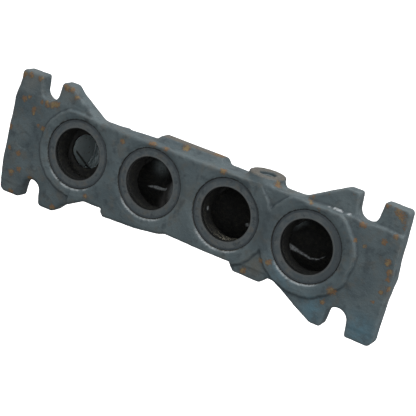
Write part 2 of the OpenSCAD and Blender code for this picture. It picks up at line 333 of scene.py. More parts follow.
def log(x, y, z, r, end, k):
    """The round tube along X that joins the runners."""
    round_part = np.sqrt((y - LOG_Y) ** 2 + (z - LOG_Z) ** 2) - r
    return high_blend(round_part, np.abs(x) - end, k)


# The first port's passage narrows to an offset throat where it meets the log
THROAT_X, THROAT_Z, THROAT_R = -120.3, -3.0, 15.5
THROAT_END = PORT_LEN + 3.5
NECK_SLOPE = -math.atan2(15, OUTLET_BACK - LOG_Y)
NECK_START = (OUTLET[0], LOG_Y, LOG_Z - 2)


def neck(x, y, z, r, end, k):
    """The tilted tube from the log to the outlet."""
    tube = tilted_bar(x, y, z, NECK_START, NECK_SLOPE, r)
    return high_blend(tube, np.maximum(y - end, LOG_Y - y), k)


def pad_shape(x, y, z):
    """The raised pad on top of the bar, with sloping ends."""
    ends = (np.abs(x - PAD_X - 0.5) - PAD_HALF - PAD_RAMP / 2 + 1.5) * 0.75
    pad = np.maximum(np.maximum(PAD_FRONT - y, y - PAD_BACK), ends)
    return high_blend(high_blend(pad, z - PAD_TOP - 0.8, 5), 20 - z, 1)


def outer_shape(x, y, z):
    """Everything outside, as if the casting had no hollow."""
    solid = flange_bar(x, y, z)
    runner = high_blend(runners(x, y, z, BORE_R + RUNNER_WALL), high_blend(8 - y, y - LOG_Y, 1.0), 1.0)
    web = np.maximum(np.maximum(np.abs(x) - LAST, np.abs(z - LOG_Z) - BORE_R), np.maximum(4 - y, y - LOG_Y))
    tube = log(x, y, z, LOG_R, LOG_END, 16)
    seam = np.exp(-(((z - LOG_Z) / 1.2) ** 2)) * ramp(y, LOG_Y, LOG_Y + 10)
    body = low_blend(low_blend(runner, web, 7), tube + 0.5 - 0.5 * seam, 7)
    solid = low_blend(solid, body, 5)
    solid = low_blend(solid, neck(x, y, z, OUTLET_R + NECK_WALL, OUTLET_BACK + 2, 2), 9)
    square = high_blend(np.abs(x - OUTLET[0]) - FLANGE_HALF, np.abs(z - OUTLET[2]) - FLANGE_HALF, 14)
    flange = high_blend(square, OUTLET_BACK - y, 4)
    solid = low_blend(solid, flange, 5)
    solid = low_blend(solid, pad_shape(x, y, z), 5)
    boss = np.maximum(disc(x, y, BOSS_X, BOSS_Y, BOSS_R + 0.3), 10 - z)
    return low_blend(solid, boss, 6)


def machined_planes(x, y, z):
    """The faces that a cutter left flat: pad, boss and outlet."""
    near_boss = disc(x, y, BOSS_X, BOSS_Y, BOSS_R + 4)
    near_pad = np.abs(x - PAD_X) < PAD_HALF + PAD_RAMP + 2
    cap = np.where(near_boss < 0, z - BOSS_TOP, np.where(near_pad, z - PAD_TOP, z - EAR_TOP))
    return cap, y - OUTLET[1]


def cast_passages(x, y, z):
    """The gas passages: runners, log and neck, with the first port's throat."""
    ducts = high_blend(runners(x, y, z, BORE_R - 0.5), np.maximum(PORT_LEN - 9 - y, y - LOG_Y), 1)
    inner = log(x, y, z, LOG_BORE_R, LOG_IN, 3)
    hollow = low_blend(low_blend(ducts, inner, 5), neck(x, y, z, OUTLET_R, OUTLET_BACK, 1), 5)
    near_throat = np.maximum(np.maximum(PORT_LEN - 0.5 - y, y - THROAT_END), x - PORT_X[0] - BORE_R - 2)
    web = np.maximum(near_throat, -disc(x, z, THROAT_X, THROAT_Z, THROAT_R))
    return high_blend(hollow, -web, 1.5)


def bored_holes(x, y, z):
    """The machined holes: ports, ring seats, outlet, cups, studs and plug."""
    best = 1e9
    for px in PORT_X:
        r = np.sqrt((x - px) ** 2 + z ** 2)
        best = np.minimum(best, np.maximum(r - BORE_R, y - PORT_LEN))
        best = np.minimum(best, np.maximum(r - RING_R - SEAT_GAP, y - SEAT_Y))
    out = np.maximum(disc(x, z, OUTLET[0], OUTLET[2], OUTLET_R), OUTLET_BACK - 1 - y)
    best = np.minimum(best, out)
    cups = np.maximum(np.sqrt((y - LOG_Y) ** 2 + (z - LOG_Z) ** 2) - CUP_R - SEAT_GAP, LOG_IN - 2 - np.abs(x))
    best = np.minimum(best, cups)
    for sx, sz in STUD_XZ:
        best = np.minimum(best, np.maximum(disc(x, z, sx, sz, STUD_R + SEAT_GAP), OUTLET_BACK - y))
    plug = np.maximum(disc(x, y, BOSS_X, BOSS_Y, PLUG_R + SEAT_GAP), PLUG_LOW[2] - z)
    return np.minimum(best, plug)


def casting_distance(x, y, z):
    solid = outer_shape(x, y, z)
    cap, outlet_face = machined_planes(x, y, z)
    solid = high_blend(solid, cap, 0.9)
    solid = high_blend(solid, outlet_face, 1.0)
    solid = high_blend(solid, -cast_passages(x, y, z), 1.5)
    return high_blend(solid, -bored_holes(x, y, z), 0.9)


def machined_mask(x, y, z):
    """1 on surfaces that a cutter made, 0 on cast skin."""
    cap, outlet_face = machined_planes(x, y, z)
    flat = np.maximum(ramp(-np.abs(cap), -0.5, -0.2), ramp(-np.abs(outlet_face), -0.6, -0.2))
    holes = ramp(-np.abs(bored_holes(x, y, z)), -0.5, -0.15)
    return np.maximum(flat, holes)


def rough_casting(x, y, z):
    """The casting with the unevenness of its cast skin."""
    skin = 1.0 - machined_mask(x, y, z)
    uneven = 0.30 * lumps(x, y, z, 17.0) + 0.16 * lumps(x, y, z, 6.0, 3.3) + 0.10 * lumps(x, y, z, 2.6, 7.1)
    return casting_distance(x, y, z) + skin * uneven * 0.8


# ------------------------------------------------------------ surface meshing
EDGES = [(a, b) for a in range(8) for b in range(a + 1, 8) if np.abs(CUBE[a] - CUBE[b]).sum() == 1]


def gradient(field, p, step):
    g = np.empty_like(p)
    for axis in range(3):
        q = p.copy()
        q[:, axis] += step
        high = field(q[:, 0], q[:, 1], q[:, 2])
        q[:, axis] -= 2 * step
        g[:, axis] = (high - field(q[:, 0], q[:, 1], q[:, 2])) / (2 * step)
    return g


def surface_of(field, low, high, cell, rough):
    """Vertices and quads of the surface where field is zero, the vertices then moved onto that of rough."""
    axes = [np.arange(a - 2 * cell, b + 3 * cell, cell) for a, b in zip(low, high)]
    grid = np.empty([len(a) for a in axes], np.float32)
    chunk = 24
    across, up = axes[1][None, :, None], axes[2][None, None, :]
    for s in range(0, len(axes[0]), chunk):
        grid[s:s + chunk] = field(axes[0][s:s + chunk, None, None], across, up)
    inside = grid < 0
    count = np.zeros([n - 1 for n in grid.shape], np.uint8)
    for i, j, k in CUBE:
        count += inside[i:i + count.shape[0], j:j + count.shape[1], k:k + count.shape[2]]
    cells = np.argwhere((count > 0) & (count < 8))
    index = np.full(count.shape, -1, np.int64)
    index[tuple(cells.T)] = np.arange(len(cells))
    values = np.stack([grid[tuple((cells + c).T)] for c in CUBE], 1)
    total = np.zeros((len(cells), 3))
    hits = np.zeros((len(cells), 1))
    for a, b in EDGES:
        va, vb = values[:, a], values[:, b]
        cross = ((va < 0) != (vb < 0))[:, None]
        t = (va / np.where(va == vb, 1, va - vb))[:, None]
        total += np.where(cross, CUBE[a] + t * (CUBE[b] - CUBE[a]), 0.0)
        hits += cross
    p = (cells + total / hits) * cell + np.array([a[0] for a in axes])
    start = p.copy()
    for _ in range(3):
        g = gradient(rough, p, 0.15)
        f = rough(p[:, 0], p[:, 1], p[:, 2])
        p = p - (f / np.maximum((g * g).sum(1), 0.2))[:, None] * g
        p = start + np.clip(p - start, -0.75 * cell, 0.75 * cell)
    quads = []
    for axis in range(3):
        u, v = [a for a in range(3) if a != axis]
        lo = [slice(None)] * 3
        hi = [slice(None)] * 3
        lo[axis] = slice(0, -1)
        hi[axis] = slice(1, None)
        change = inside[tuple(lo)] != inside[tuple(hi)]
        at = np.argwhere(change)
        at = at[(at[:, u] > 0) & (at[:, v] > 0)]
        corners = []
        for du, dv in ((1, 1), (0, 1), (0, 0), (1, 0)):
            c = at.copy()
            c[:, u] -= du
            c[:, v] -= dv
            corners.append(index[tuple(c.T)])
        face = np.stack(corners, 1)
        flip = inside[tuple(at.T)] == (axis == 1)
        face[flip] = face[flip][:, ::-1]
        quads.append(face)
    return p, np.concatenate(quads)


def mesh_object(name, points_mm, faces):
    mesh = bpy.data.meshes.new(name)
    mesh.vertices.add(len(points_mm))
    mesh.vertices.foreach_set("co", (np.asarray(points_mm, np.float64) * MM).astype(np.float32).ravel())
    rows = [np.asarray(f, np.int32) for f in faces]
    sizes = np.array([len(row) for row in rows], np.int32)
    loops = np.concatenate(rows)
    mesh.loops.add(len(loops))
    mesh.loops.foreach_set("vertex_index", loops)
    mesh.polygons.add(len(sizes))
    mesh.polygons.foreach_set("loop_start", np.concatenate([[0], np.cumsum(sizes)[:-1]]).astype(np.int32))
    mesh.polygons.foreach_set("loop_total", sizes)
    mesh.update(calc_edges=True)
    mesh.validate()
    mesh.polygons.foreach_set("use_smooth", np.full(len(mesh.polygons), True))
    obj = bpy.data.objects.new(name, mesh)
    bpy.context.scene.collection.objects.link(obj)
    return obj


def add_field(obj, name, values):
    layer = obj.data.attributes.new(name, "FLOAT", "POINT")
    layer.data.foreach_set("value", np.asarray(values, np.float32))


# ------------------------------------------------------------------ materials
class Nodes:
    """Small helper that wires a material's nodes."""

    def __init__(self, name):
        self.material = bpy.data.materials.new(name)
        self.material.use_nodes = True
        self.tree = self.material.node_tree
        self.tree.nodes.clear()
        self.out = self.tree.nodes.new("ShaderNodeOutputMaterial")
        self.coords = self.tree.nodes.new("ShaderNodeTexCoord")

    def feed(self, socket, value):
        if isinstance(value, bpy.types.NodeSocket):
            self.tree.links.new(value, socket)
        elif isinstance(value, tuple):
            socket.default_value = (*value, 1.0) if len(value) == 3 else value
        else:
            socket.default_value = value

    def noise(self, size_mm, detail=3.0, rough=0.55):
        node = self.tree.nodes.new("ShaderNodeTexNoise")
        node.inputs["Scale"].default_value = 1.0 / (size_mm * MM)
        node.inputs["Detail"].default_value = detail
        node.inputs["Roughness"].default_value = rough
        self.tree.links.new(self.coords.outputs["Object"], node.inputs["Vector"])
        return node.outputs["Fac"]

    def field(self, name):
        node = self.tree.nodes.new("ShaderNodeAttribute")
        node.attribute_name = name
        return node.outputs["Fac"]

    def math(self, op, a, b=0.0, clamp=False):
        node = self.tree.nodes.new("ShaderNodeMath")
        node.operation = op
        node.use_clamp = clamp
        self.feed(node.inputs[0], a)
        self.feed(node.inputs[1], b)
        return node.outputs[0]

    def times(self, a, b, clamp=False):
        return self.math("MULTIPLY", a, b, clamp)

    def span(self, value, low, high, to_low=0.0, to_high=1.0):
        node = self.tree.nodes.new("ShaderNodeMapRange")
        node.interpolation_type = "SMOOTHSTEP"
        self.feed(node.inputs["Value"], value)
        for key, v in (("From Min", low), ("From Max", high), ("To Min", to_low), ("To Max", to_high)):
            node.inputs[key].default_value = v
        return node.outputs["Result"]

    def mix(self, fac, a, b):
        node = self.tree.nodes.new("ShaderNodeMix")
        node.data_type = "RGBA"
        self.feed(node.inputs[0], fac)
        self.feed(node.inputs[6], a)
        self.feed(node.inputs[7], b)
        return node.outputs[2]

    def bump(self, height, depth_mm, normal=None):
        node = self.tree.nodes.new("ShaderNodeBump")
        node.inputs["Strength"].default_value = 1.0
        node.inputs["Distance"].default_value = depth_mm * MM
        self.feed(node.inputs["Height"], height)
        if normal is not None:
            self.feed(node.inputs["Normal"], normal)
        return node.outputs["Normal"]

    def finish(self, color, roughness, metallic=0.0, normal=None, specular=0.5):
        shader = self.tree.nodes.new("ShaderNodeBsdfPrincipled")
        self.feed(shader.inputs["Base Color"], color)
        self.feed(shader.inputs["Roughness"], roughness)
        self.feed(shader.inputs["Metallic"], metallic)
        shader.inputs["Specular IOR Level"].default_value = specular
        if normal is not None:
            self.feed(shader.inputs["Normal"], normal)
        self.tree.links.new(shader.outputs["BSDF"], self.out.inputs["Surface"])
        return self.material


PAINT = (0.076, 0.104, 0.116)
PAINT_PALE = (0.108, 0.140, 0.150)
# Dark paint tone, also used as painted shade in hollows and between ports 3 and 4
PAINT_DARK = (0.044, 0.060, 0.069)
PAINT_WARM = (0.104, 0.108, 0.100)
PAINT_BLUE = (0.094, 0.172, 0.213)
BARE = (0.135, 0.125, 0.105)
SOOT = (0.013, 0.014, 0.014)
SOOT_BROWN = (0.032, 0.032, 0.025)
RUST_DARK = (0.115, 0.072, 0.042)
RUST = (0.205, 0.122, 0.064)
OCHRE = (0.240, 0.182, 0.088)
# Pale colour of the scrapes on the ledge, also used as painted highlight in the passages and on the
# counterbore edges
SCRAPE_AND_HIGHLIGHT_PALE = (0.52, 0.56, 0.58)
WARM_STAIN = (0.120, 0.122, 0.108)
LIGHT_STAIN = (0.150, 0.168, 0.165)
# Paler colour of outer edges, partly edge wear and partly painted highlight
EDGE_WEAR_AND_HIGHLIGHT = (0.16, 0.18, 0.18)
BARE_DULL = (0.085, 0.080, 0.070)
# Pale blue-grey of clean paint on the far walls of the passages, made far paler than the outside paint to
# stand in for light reaching them
LIT_WALL_PALE = (0.42, 0.50, 0.52)
CRUST = (0.50, 0.47, 0.37)


def weathered_paint(n, patch):
    """Blue-grey paint with discoloured patches, painted shade in hollows and in the valley between ports 3
    and 4, and paler outer edges that are partly edge wear and partly painted highlight.
    """
    tones_and_shade = (("cool", n.span(n.noise(6, 3), 0.35, 0.6, 0.4, 1.0), PAINT_BLUE),
              ("warm", n.span(n.noise(5, 3), 0.3, 0.6, 0.3, 0.9), WARM_STAIN),
              ("light", n.span(n.noise(7, 3), 0.3, 0.6, 0.3, 0.9), LIGHT_STAIN),
              # Painted shade: darker in hollows and in the valley between ports 3 and 4
              ("hollow", 0.8, PAINT_DARK),
              ("dim", 0.8, PAINT_DARK))
    color = n.mix(n.span(n.noise(38, 3), 0.35, 0.65), PAINT, PAINT_PALE)
    color = n.mix(n.span(n.noise(13, 4, 0.65), 0.50, 0.68, 0.0, 0.7), color, PAINT_WARM)
    color = n.mix(n.span(patch, 0.50, 0.70, 0.0, 0.7), color, PAINT_DARK)
    for name, share, tone_color in tones_and_shade:
        color = n.mix(n.times(n.field(name), share), color, tone_color)
    # Outer edges paler: partly edge wear, partly painted highlight
    wear_and_highlight = n.times(n.field("edge"), n.span(patch, 0.35, 0.6), True)
    return n.mix(n.times(wear_and_highlight, 0.3), color, EDGE_WEAR_AND_HIGHLIGHT)


def rust_share(n):
    """Spots where the rust field says, and a thin fringe along some edges."""
    speck = n.noise(1.9, 5, 0.75)
    rust = n.field("rust")
    near = n.math("ADD", speck, n.times(rust, 0.34))
    spots = n.times(n.span(near, 0.60, 0.80), n.span(rust, 0.08, 0.5))
    stretches = n.times(n.field("edge"), n.span(n.noise(14, 2), 0.54, 0.68))
    fringe = n.times(stretches, n.span(speck, 0.54, 0.66), True)
    return n.math("MAXIMUM", spots, n.times(fringe, 0.6))


def casting_material():
    n = Nodes("weathered_casting")
    patch = n.noise(9, 4, 0.6)
    grain = n.noise(1.6, 3, 0.6)
    soot = n.field("soot")
    color = weathered_paint(n, patch)
    bare_color = n.mix(n.span(grain, 0.35, 0.65), BARE, BARE_DULL)
    color = n.mix(n.times(n.field("bare"), n.span(patch, 0.25, 0.55, 0.55, 1.0)), color, bare_color)
    rusty = rust_share(n)
    rust_color = n.mix(n.span(n.noise(4.0, 2), 0.45, 0.62), RUST, OCHRE)
    color = n.mix(n.span(rusty, 0.0, 0.35, 0.0, 0.75), color, RUST_DARK)
    color = n.mix(n.span(rusty, 0.35, 0.95, 0.0, 0.80), color, rust_color)
    black = n.mix(n.span(n.noise(4, 4, 0.7), 0.45, 0.7), SOOT, SOOT_BROWN)
    color = n.mix(soot, color, black)
    broken = n.span(n.noise(2.5, 3), 0.3, 0.5, 0.7, 1.0)
    # Clean paint on the far walls inside the ports, painted pale as light falling on them
    color = n.mix(n.times(n.field("deposit"), broken), color, LIT_WALL_PALE)
    grit = n.times(n.field("crust"), n.span(n.noise(1.3, 4, 0.7), 0.53, 0.61))
    color = n.mix(grit, color, CRUST)
    # Pale scrapes on the ledge, and painted highlights on the passage walls and counterbore edges
    color = n.mix(n.times(n.field("scraped"), n.span(grain, 0.3, 0.55, 0.3, 1.0)), color, SCRAPE_AND_HIGHLIGHT_PALE)
    rough = n.span(patch, 0.3, 0.7, 0.40, 0.60)
    rough = n.math("MAXIMUM", rough, n.times(rusty, 0.85))
    rough = n.math("MAXIMUM", rough, n.times(soot, 0.75))
    height = n.math("ADD", n.times(grain, 0.6), n.times(n.noise(0.7, 2), 0.4))
    normal = n.bump(patch, 0.8, n.bump(height, 0.30))
    return n.finish(color, rough, 0.0, normal, 0.4)


def ring_material():
    n = Nodes("heat_dulled_ring")
    patch = n.noise(6, 4, 0.65)
    grain = n.noise(1.0, 3, 0.6)
    color = n.mix(n.span(patch, 0.35, 0.65), (0.066, 0.086, 0.096), (0.100, 0.114, 0.118))
    color = n.mix(n.span(n.noise(3.5, 3), 0.54, 0.70), color, (0.048, 0.060, 0.066))
    color = n.mix(n.span(n.noise(9.0, 3, 0.7), 0.52, 0.68, 0.0, 0.7), color, (0.108, 0.104, 0.092))
    # Darker band round the ring's outer edge, with painted shadow on the right side of the last port's ring
    dark_rim_and_shade = n.times(n.field("rim"), n.span(patch, 0.3, 0.6, 0.4, 1.0))
    color = n.mix(dark_rim_and_shade, color, (0.042, 0.054, 0.062))
    rubbed = n.times(n.field("lip"), n.span(grain, 0.3, 0.6, 0.2, 0.8))
    color = n.mix(rubbed, color, (0.130, 0.140, 0.140))
    color = n.mix(n.times(n.field("soot"), 0.95), color, SOOT)
    rough = n.span(patch, 0.3, 0.7, 0.38, 0.6)
    normal = n.bump(patch, 0.35, n.bump(grain, 0.12))
    return n.finish(color, rough, 0.0, normal, 0.4)


def plug_material():
    n = Nodes("painted_plug")
    patch = n.noise(11, 3)
    broad = n.span(patch, 0.35, 0.65)
    color = n.mix(broad, (0.070, 0.096, 0.108), (0.100, 0.128, 0.140))
    # Clean paint on the cups' inner faces, painted much paler than outside to stand in for light falling on
    # them inside the log
    color = n.mix(n.field("pale"), color, n.mix(broad, (0.40, 0.48, 0.50), (0.46, 0.54, 0.56)))
    color = n.mix(n.field("line"), color, (0.02, 0.022, 0.022))
    color = n.mix(n.span(n.noise(3.0, 4, 0.7), 0.60, 0.70), color, RUST_DARK)
    normal = n.bump(n.noise(1.2, 2), 0.05)
    return n.finish(color, n.span(patch, 0.3, 0.7, 0.34, 0.5), 0.0, normal, 0.5)


def stud_material():
    n = Nodes("rusted_stud")
    patch = n.noise(5, 4, 0.65)
    color = n.mix(n.span(patch, 0.40, 0.60), (0.16, 0.14, 0.12), (0.15, 0.085, 0.045))
    color = n.mix(n.span(n.noise(1.8, 3), 0.58, 0.68), color, RUST)
    rough = n.span(patch, 0.3, 0.7, 0.35, 0.7)
    metallic = n.span(patch, 0.45, 0.6, 0.8, 0.1)
    return n.finish(color, rough, metallic, n.bump(n.noise(0.8, 3), 0.12), 0.5)


# ------------------------------------------------------------- the casting
# Rust spots on the front of the end plates and the bar: x, z and size
FACE_RUST = [
    (106.5, 40.0, 2.6), (118.0, 47.0, 2.2), (139.0, 54.5, 1.8), (108.0, 35.5, 1.6), (116.0, 34.0, 1.8),
    (168.0, 55.5, 3.0), (177.5, 54.0, 3.0), (181.5, 52.0, 3.2), (184.0, 49.0, 2.6), (187.0, 43.0, 2.4),
    (154.0, 34.5, 2.6), (182.0, 35.0, 2.0), (174.5, 27.5, 2.2), (151.5, 20.5, 1.7), (160.5, 18.5, 1.4),
    (182.5, 13.0, 2.4), (186.0, 6.0, 2.2), (186.5, 0.0, 1.8), (189.0, -7.0, 2.2), (183.5, -12.0, 1.5),
    (179.5, -22.0, 1.3), (149.5, -18.0, 1.7), (145.0, -26.0, 3.6), (140.0, -38.0, 2.0),
    (80.0, -25.0, 2.4), (66.0, -40.0, 2.4),
    (-186.0, 51.0, 3.0), (-179.0, 52.5, 2.6), (-168.0, 52.5, 2.4), (-140.0, 53.0, 3.0),
    (-134.0, 53.0, 2.4), (-127.5, 48.0, 2.4), (-155.0, 33.0, 2.6), (-150.0, 34.0, 2.8),
    (-145.0, 36.0, 2.4), (-161.0, 33.0, 1.6), (-180.0, 30.0, 2.4), (-175.0, 33.0, 1.8),
    (-168.0, 24.0, 2.2), (-167.5, 20.5, 1.8), (-154.5, 10.0, 2.0), (-160.0, 11.0, 1.4),
    (-189.5, 1.0, 2.6), (-185.5, -18.5, 1.8), (-175.0, -20.0, 2.2), (-178.5, -39.5, 2.6),
    (-171.0, -34.5, 2.2), (-175.0, -57.5, 2.6), (-128.0, -55.5, 2.4)]
# Rust spots elsewhere: x, y, z and size
OTHER_RUST = [
    (87.0, 0.5, -24.0, 2.4), (27.0, 1.0, BAR_TOP, 2.4), (-30.0, 1.0, BAR_TOP, 2.4),
    (-43.0, 1.0, BAR_TOP, 3.0),
    (-71.5, 0.0, 27.0, 2.2), (-95.5, 0.0, -32.5, 1.9), (-158.0, PLATE_Y + 1, -38.0, 2.2),
    (PAD_X + 24, PAD_BACK - 6, PAD_TOP, 4), (PAD_X - 4, PAD_FRONT, PAD_TOP - 3, 3),
    (BOSS_X + 14, BOSS_Y - 8, BOSS_TOP - 4, 3)]
RUST_GROWTH = 1.35
# A dark line on the inner faces of both cups and on the wall beside the left one: where it starts, and how
# far it falls for each millimetre along Y
LINE_Y, LINE_Z, LINE_FALL = 37.0, -9.0, 0.72
# Painted highlight streaks on the log's back wall, where light through the ports falls: first and last x,
# then thickness and height along x
HIGHLIGHT_STREAKS = [
    (-75, -56, ((-75, -66, -58, -56), (0.3, 1.6, 1.2, 0.3)), ((-74, -66, -57), (-25.4, -24.2, -23.9))),
    (65, 109, ((65, 69, 78, 87, 98, 109), (0.8, 2.3, 2.0, 1.0, 0.6, 0.6)),
     ((65.0, 73.7, 85.8, 97.9, 104.6, 108.7), (-25.4, -27.2, -28.5, -30.0, -28.5, -24.7)))]
# Two painted highlight dots on the walls of the passages: x, y and z
HIGHLIGHT_DOTS = ((15.2, 14.0, -4.8), (31.0, 71.5, -24.6))


def spot(p, x, y, z, size):
    """1 at the point, fading out over about the given size."""
    return np.exp(-(((p[:, 0] - x) ** 2 + (p[:, 1] - y) ** 2 + (p[:, 2] - z) ** 2) / size ** 2))


def spots(p, *places):
    """Sum of (share, x, y, z, size) spots, from 0 to 1."""
    return np.clip(sum(share * spot(p, x, y, z, size) for share, x, y, z, size in places), 0, 1)


def dark_line(y, z):
    return ramp(-np.abs(z - LINE_Z + LINE_FALL * (y - LINE_Y)), -1.6, -0.7) * (y > LINE_Y)


def painted_highlights(x, y, z, inner):
    """Painted highlights: bright streaks and dots where light through the ports falls on the passage walls,
    and arcs where the lower edges of the counterbores catch light from above.
    """
    streak = 0.0
    for start, end, thickness, height in HIGHLIGHT_STREAKS:
        within = ramp(x, start, start + 2) * ramp(-x, -end, -end + 2)
        away = np.abs(z - np.interp(x, *height)) / np.interp(x, *thickness)
        streak = np.maximum(streak, within * ramp(-away, -1.0, -0.6))
    streak = streak * (y > LOG_Y) * (y < LOG_Y + LOG_BORE_R + 2) * inner
    for dot in HIGHLIGHT_DOTS:
        away = np.sqrt((x - dot[0]) ** 2 + (y - dot[1]) ** 2 + (z - dot[2]) ** 2)
        streak = np.maximum(streak, ramp(-away, -2.2, -1.0) * inner)
    # Painted highlight arcs on the lower bevels of the counterbores
    arcs = 0.0
    for px in PORT_X:
        r = np.sqrt((x - px) ** 2 + z ** 2)
        angle = np.degrees(np.arctan2(z, x - px))
        reach = ramp(angle, -142, -128) * ramp(-angle, 50, 66)
        arcs = np.maximum(arcs, reach * ramp(-np.abs(r - RING_R - 1.3), -0.9, -0.3))
    broken = ramp(lumps(x, 0.0, z, 6.0, 9.0), -0.9, -0.1)
    return np.maximum(streak, 0.65 * arcs * (y < 3) * broken)


def bend_of(p, reach=2.6):
    """How the surface bends: above 0 on outer edges, below 0 in hollows."""
    bend = -6 * casting_distance(*p.T)
    for axis in range(3):
        for sign in (-1, 1):
            q = p.copy()
            q[:, axis] += sign * reach
            bend = bend + casting_distance(*q.T)
    return bend / reach


def rust_field(p):
    x, y, z = p.T
    rust = np.zeros(len(p))
    places = [(sx, PLATE_Y, sz, size) for sx, sz, size in FACE_RUST] + OTHER_RUST
    for sx, sy, sz, size in places:
        rust = np.maximum(rust, spot(p, sx, sy, sz, RUST_GROWTH * size))
    behind = ramp(y, 20, 34) * 0.75 * ramp(lumps(x, y, z, 14.0, 5.0), 0.15, 0.6)
    return np.clip(np.maximum(rust, behind), 0, 1)


def ledge_scrapes(x, y, z):
    """Scraped marks on the ledge below the right plate's inner upper ear."""
    ledge = 0.9 * ramp(-np.abs(z - BAR_TOP - 3.3), -1.2, -0.4) * ramp(x, 121, 123) * ramp(-x, -147, -144)
    return ledge * (y < PLATE_BACK - 3) * ramp(lumps(x, 0.0, z, 2.2, 8.0), -0.1, 0.35)


def paint_fields(obj, p):
    """Fields for the casting's paint: outer edges and hollows, machined faces, soot, pale scrapes and painted
    highlights, clean paint painted pale as light on far walls, discoloured patches, painted shade between
    ports 3 and 4, and rust.
    """
    x, y, z = p.T
    bend = bend_of(p)
    # Outer edges, made paler later as edge wear and painted highlight; hollows, darkened later as painted
    # shade
    add_field(obj, "edge", ramp(bend, 0.35, 1.3))
    add_field(obj, "hollow", ramp(-bend, 0.25, 1.2))
    cap, outlet_face = machined_planes(x, y, z)
    top = ramp(-np.abs(cap), -0.7, -0.3) * (z < BOSS_TOP + 1) * (np.abs(x) < LAST)
    add_field(obj, "bare", np.maximum(top, ramp(-np.abs(outlet_face), -0.7, -0.3)))

    # The skin of the passages only: the outside of the log behind a port isn't inner
    passage = np.minimum(cast_passages(x, y, z), bored_holes(x, y, z))
    in_port = np.min([disc(x, z, px, 0, BORE_R + 1.0) for px in PORT_X], 0)
    inner = ((in_port < 0) & (passage < 3.0)) | (passage < 0.8)
    from_outlet = ramp(-passage, -1.2, -0.4) * ramp(-y, -OUTLET[1], -OUTLET[1] + 12)
    deep = np.where(in_port < 0, ramp(y, 1.0, 4.5), from_outlet)
    off_plug = disc(x, y, BOSS_X, BOSS_Y, PLUG_R + 1) > 0
    add_field(obj, "soot", np.clip(deep * inner * (np.abs(z) < 60) * off_plug, 0, 1))
    # Pale marks: scrapes on the ledge, and painted highlights inside the passages and on the counterbore
    # edges
    add_field(obj, "scraped", np.clip(np.maximum(ledge_scrapes(x, y, z), painted_highlights(x, y, z, inner)), 0, 1))

    # Clean paint on the far walls seen through ports 1, 2 and 4, painted pale to stand in for light that
    # reaches them
    back = ramp(y, LOG_Y, LOG_Y + 14) * inner
    torn = ramp(lumps(x, y, z, 4.0, 1.0), -0.4, 0.1)
    patches = spot(p, -68, 74, -5, 6.5) + spot(p, 74, 74, -3, 7.0) * torn
    far_end_lit = ramp(-x, LAST - 1, LAST + 6) * ramp(y, THROAT_END, THROAT_END + 3) * inner
    far_end_lit = far_end_lit * (1 - dark_line(y, z))
    add_field(obj, "deposit", np.clip(np.maximum(0.85 * patches * back, far_end_lit), 0, 1))
    in_third = np.abs(x - PORT_X[2]) < BORE_R + 1
    crust = spots(p, (1, 41, 9, -22, 13), (1, 56, 16, -15, 11))
    add_field(obj, "crust", crust * in_third * inner)

    cool = spots(p, (1, 176, PLATE_Y, -50, 15), (1, 134, PLATE_Y, -48, 12), (0.5, 100, 0, -30, 16))
    add_field(obj, "cool", cool)
    # Painted shade in the valley between the bosses of ports 3 and 4
    add_field(obj, "dim", spots(p, (0.7, 76, 0, 16, 17), (0.5, 76, 0, -8, 10)))
    add_field(obj, "warm", spots(p, (1, 75, PLATE_Y, -33, 9), (0.6, 3, 0, 5, 8)))
    add_field(obj, "light", spots(
        p, (1, -177, PLATE_Y, 47, 10), (0.7, -137, PLATE_Y, 49, 8), (0.5, -176, PLATE_Y, -49, 9)))
    add_field(obj, "rust", rust_field(p))


def build_casting():
    points, quads = surface_of(casting_distance, CAST_LOW, CAST_HIGH, VOXEL, rough_casting)
    points = np.clip(points, CAST_LOW, CAST_HIGH)
    obj = mesh_object("casting", points, quads)
    paint_fields(obj, points)
    obj.data.materials.append(casting_material())
    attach(obj, "root")
    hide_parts("manifold_casting")


# ------------------------------------------------------------ turned pieces
def revolve(profile, turns=96, closed=False):
    """Rings of points round +Z for a profile of (radius, height)."""
    points, faces = [], []
    n = len(profile)
    for i in range(turns):
        angle = 2 * math.pi * i / turns
        points += [(r * math.cos(angle), r * math.sin(angle), h) for r, h in profile]
    for i in range(turns):
        j = (i + 1) % turns
        for k in range(n if closed else n - 1):
            m = (k + 1) % n
            faces.append((i * n + k, j * n + k, j * n + m, i * n + m))
    return np.array(points), faces


def place(points, axis, origin):
    """Turn +Z onto the axis and move to origin, in millimetres."""
    turn = Vector((0, 0, 1)).rotation_difference(Vector(axis)).to_matrix()
    return np.asarray(points) @ np.array(turn).T + np.asarray(origin)


def add_piece(name, points, faces, material, node):
    obj = mesh_object(name, points, faces)
    obj.data.materials.append(material)
    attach(obj, "root")
    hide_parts(node)
    return obj


RING_CHAMFER = 0.4
# The turning lines on a ring's face: how many, where the first is, how far apart and how deep
GROOVES, GROOVE_START, GROOVE_PITCH, GROOVE_DEPTH = 5, 1.4, 1.15, 0.09


def ring_profile(thick):
    """Radius and depth round a seat ring's cross-section, its turned face at depth 0."""
    c = RING_CHAMFER
    profile = [(BORE_R, c * 1.2), (BORE_R + c * 0.4, c * 0.35), (BORE_R + c * 1.2, 0)]
    for k in range(GROOVES):
        r = BORE_R + GROOVE_START + k * GROOVE_PITCH
        profile += [(r, 0.0), (r + 0.3, GROOVE_DEPTH), (r + 0.6, 0.0)]
    profile += [(RING_R - c, 0), (RING_R - c * 0.3, c * 0.3), (RING_R, c)]
    return profile + [(RING_R, thick), (BORE_R, thick)]


